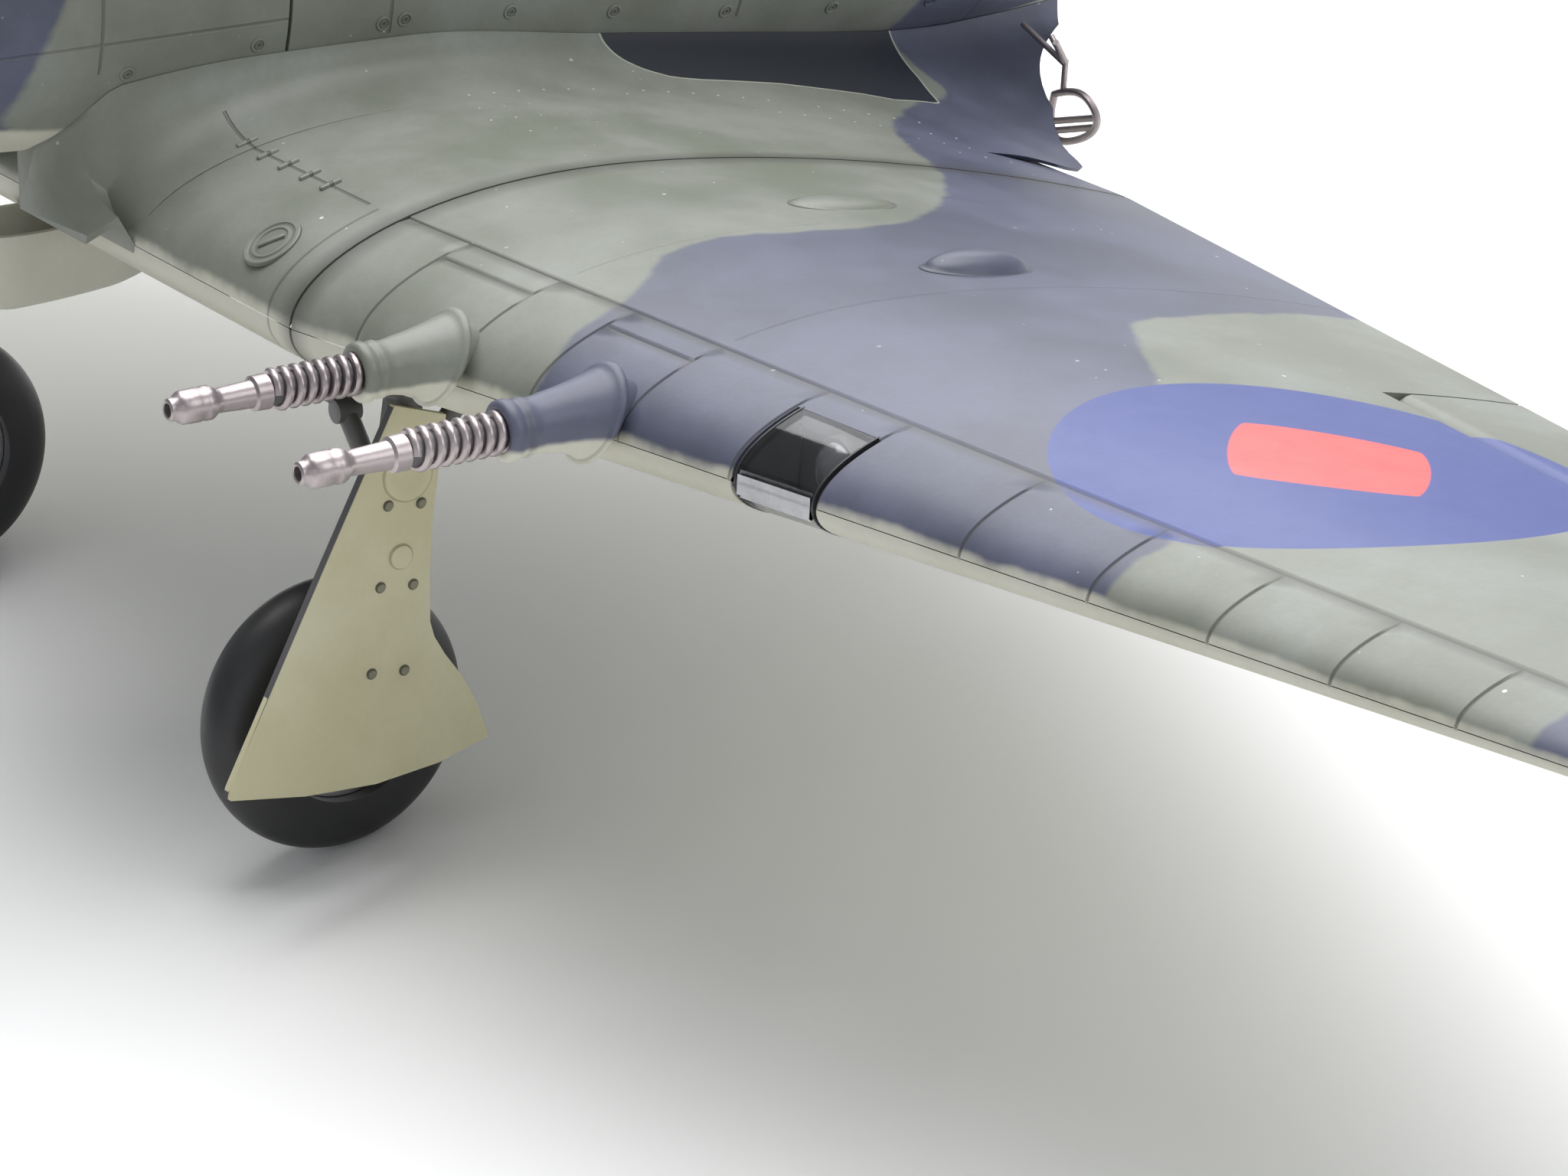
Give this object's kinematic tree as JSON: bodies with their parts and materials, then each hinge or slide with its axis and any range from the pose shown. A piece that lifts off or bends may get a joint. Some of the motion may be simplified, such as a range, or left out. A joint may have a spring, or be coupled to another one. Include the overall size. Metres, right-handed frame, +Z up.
{
  "type": "radio-controlled warbird aircraft",
  "caption": "Micro radio-controlled low-wing fighter with camouflage, wing guns, folding undercarriage, sliding canopy, geared propeller and hinged flying controls.",
  "frame": {"origin": "on the ground, midway along the length and span, as it stands on its three wheels", "axes": "+X to the port wing tip, -Y forward to the nose, +Z up"},
  "size_m": [0.3794, 0.305, 0.1023],
  "materials": {
    "camouflage": "matt camouflage paint",
    "underside": "matt sky-grey paint",
    "glazing": "clear moulded glazing",
    "tyre_rubber": "matt rubber",
    "steel": "bare steel",
    "white_metal": "satin cast metal",
    "black_plastic": "satin moulding",
    "nylon": "natural nylon",
    "cell_wrap": "satin foil wrap",
    "circuit_board": "solder-resist green",
    "carbon": "satin carbon",
    "cockpit_green": "matt interior green"
  },
  "bodies": {
    "airframe": {"fuselage_shell": "camouflage", "engine_cowl": "camouflage", "cockpit_tub": "cockpit_green", "windscreen": "glazing", "motor_frame": "black_plastic", "motor_can": "white_metal", "shaft_bearing_front": "steel", "shaft_bearing_rear": "steel", "battery": "cell_wrap", "receiver_board": "circuit_board", "centre_upper_skin": "camouflage", "centre_lower_skin": "underside", "outer_upper_skin_left": "camouflage", "outer_upper_skin_right": "camouflage", "outer_lower_skin_left": "underside", "outer_lower_skin_right": "underside", "main_spar": "carbon", "root_fillet_left": "camouflage", "root_fillet_right": "camouflage", "gun_barrel_inner_left": "steel", "gun_barrel_outer_left": "steel", "gun_barrel_inner_right": "steel", "gun_barrel_outer_right": "steel", "gun_fairing_inner_left": "camouflage", "gun_fairing_outer_left": "camouflage", "gun_fairing_inner_right": "camouflage", "gun_fairing_outer_right": "camouflage", "landing_light_window_left": "glazing", "landing_light_window_right": "glazing", "radiator": "underside", "carb_intake": "underside", "tailplane": "camouflage", "fin": "camouflage"},
    "propeller": {"propeller": "black_plastic", "spinner": "black_plastic", "prop_shaft": "steel", "drive_gear": "nylon"},
    "pinion": {"motor_pinion": "white_metal"},
    "hatch": {"battery_hatch": "camouflage"},
    "canopy": {"canopy": "glazing"},
    "aileron_left": {"aileron_left": "camouflage"},
    "aileron_right": {"aileron_right": "camouflage"},
    "flap_left": {"flap_left": "underside"},
    "flap_right": {"flap_right": "underside"},
    "elevator": {"elevator": "camouflage"},
    "rudder": {"rudder": "camouflage"},
    "elevator_pushrod": {"elevator_pushrod": "steel"},
    "rudder_pushrod": {"rudder_pushrod": "steel"},
    "tail_leg": {"tail_leg": "underside"},
    "tail_wheel": {"tail_wheel": "tyre_rubber"},
    "leg_left": {"gear_leg_left": "underside", "leg_cover_left": "underside"},
    "stay_left": {"side_stay_left": "black_plastic"},
    "wheel_left": {"tyre_left": "tyre_rubber", "wheel_hub_left": "white_metal"},
    "leg_right": {"gear_leg_right": "underside", "leg_cover_right": "underside"},
    "stay_right": {"side_stay_right": "black_plastic"},
    "wheel_right": {"tyre_right": "tyre_rubber", "wheel_hub_right": "white_metal"}
  },
  "joints": [
    {"name": "prop_spin", "type": "hinge", "parent": "airframe", "child": "propeller", "pos_m": [0, -0.13972, 0.07501], "axis": [0, 0.9833, -0.1822], "continuous": true},
    {"name": "pinion_spin", "type": "hinge", "parent": "airframe", "child": "pinion", "pos_m": [0, -0.12446, 0.06405], "axis": [0, 0.9833, -0.1822], "continuous": true},
    {"name": "hatch_lid", "type": "hinge", "parent": "airframe", "child": "hatch", "pos_m": [0, -0.06799, 0.07896], "axis": [1, 0, 0], "range_deg": [0, 80]},
    {"name": "canopy_slide", "type": "slide", "parent": "airframe", "child": "canopy", "axis": [0, 0.9833, -0.1822], "range_m": [0, 0.024]},
    {"name": "aileron_left", "type": "hinge", "parent": "airframe", "child": "aileron_left", "pos_m": [0.135, -0.04975, 0.04125], "axis": [0.9795, -0.178, 0.0942], "range_deg": [-18, 18]},
    {"name": "flap_left", "type": "hinge", "parent": "airframe", "child": "flap_left", "pos_m": [0.0741, -0.03995, 0.03274], "axis": [-0.979, 0.1704, -0.112], "range_deg": [0, 70]},
    {"name": "aileron_right", "type": "hinge", "parent": "airframe", "child": "aileron_right", "pos_m": [-0.135, -0.04975, 0.04125], "axis": [0.9795, 0.178, -0.0942], "range_deg": [-18, 18]},
    {"name": "flap_right", "type": "hinge", "parent": "airframe", "child": "flap_right", "pos_m": [-0.0741, -0.03995, 0.03274], "axis": [-0.979, -0.1704, 0.112], "range_deg": [0, 70]},
    {"name": "elevator", "type": "hinge", "parent": "airframe", "child": "elevator", "pos_m": [0, 0.12261, 0.03351], "axis": [1, 0, 0], "range_deg": [-22, 22]},
    {"name": "rudder", "type": "hinge", "parent": "airframe", "child": "rudder", "pos_m": [0, 0.12724, 0.02553], "axis": [0, 0.1822, 0.9833], "range_deg": [-25, 25]},
    {"name": "elevator_pushrod_slide", "type": "slide", "parent": "airframe", "child": "elevator_pushrod", "axis": [-0.0268, 0.9928, -0.1167], "range_m": [-0.0022, 0.0022]},
    {"name": "rudder_pushrod_slide", "type": "slide", "parent": "airframe", "child": "rudder_pushrod", "axis": [0.0285, 0.992, -0.1228], "range_m": [-0.0026, 0.0026]},
    {"name": "tail_wheel_steer", "type": "hinge", "parent": "airframe", "child": "tail_leg", "pos_m": [0, 0.09823, 0.03091], "axis": [0, 0.1822, 0.9833], "range_deg": [-25, 25]},
    {"name": "tail_wheel_spin", "type": "hinge", "parent": "tail_leg", "child": "tail_wheel", "pos_m": [0, 0.09946, 0.0046], "axis": [1, 0, 0], "continuous": true},
    {"name": "leg_left_retract", "type": "hinge", "parent": "airframe", "child": "leg_left", "pos_m": [0.04, -0.08324, 0.03952], "axis": [0.256, 0.8699, -0.4216], "range_deg": [0, 94]},
    {"name": "stay_left_fold", "type": "hinge", "parent": "leg_left", "child": "stay_left", "pos_m": [0.0372, -0.08722, 0.03009], "axis": [0.256, 0.8699, -0.4216], "range_deg": [0, 36]},
    {"name": "wheel_left_spin", "type": "hinge", "parent": "leg_left", "child": "wheel_left", "pos_m": [0.0354, -0.09342, 0.0109], "axis": [1, 0, 0], "continuous": true},
    {"name": "leg_right_retract", "type": "hinge", "parent": "airframe", "child": "leg_right", "pos_m": [-0.04, -0.08324, 0.03952], "axis": [0.256, -0.8699, 0.4216], "range_deg": [0, 94]},
    {"name": "stay_right_fold", "type": "hinge", "parent": "leg_right", "child": "stay_right", "pos_m": [-0.0372, -0.08722, 0.03009], "axis": [0.256, -0.8699, 0.4216], "range_deg": [0, 36]},
    {"name": "wheel_right_spin", "type": "hinge", "parent": "leg_right", "child": "wheel_right", "pos_m": [-0.0354, -0.09342, 0.0109], "axis": [1, 0, 0], "continuous": true}
  ],
  "couplings": [
    {"joint": "pinion_spin", "follows": "prop_spin", "ratio": -2.3333},
    {"joint": "aileron_right", "follows": "aileron_left", "ratio": -1},
    {"joint": "flap_right", "follows": "flap_left", "ratio": 1},
    {"joint": "elevator_pushrod_slide", "follows": "elevator", "m_per_rad": 0.0046},
    {"joint": "rudder_pushrod_slide", "follows": "rudder", "m_per_rad": -0.0052},
    {"joint": "tail_wheel_steer", "follows": "rudder", "ratio": 1},
    {"joint": "leg_right_retract", "follows": "leg_left_retract", "ratio": 1},
    {"joint": "stay_left_fold", "follows": "leg_left_retract", "ratio": 0.37},
    {"joint": "stay_right_fold", "follows": "leg_left_retract", "ratio": 0.37}
  ]
}
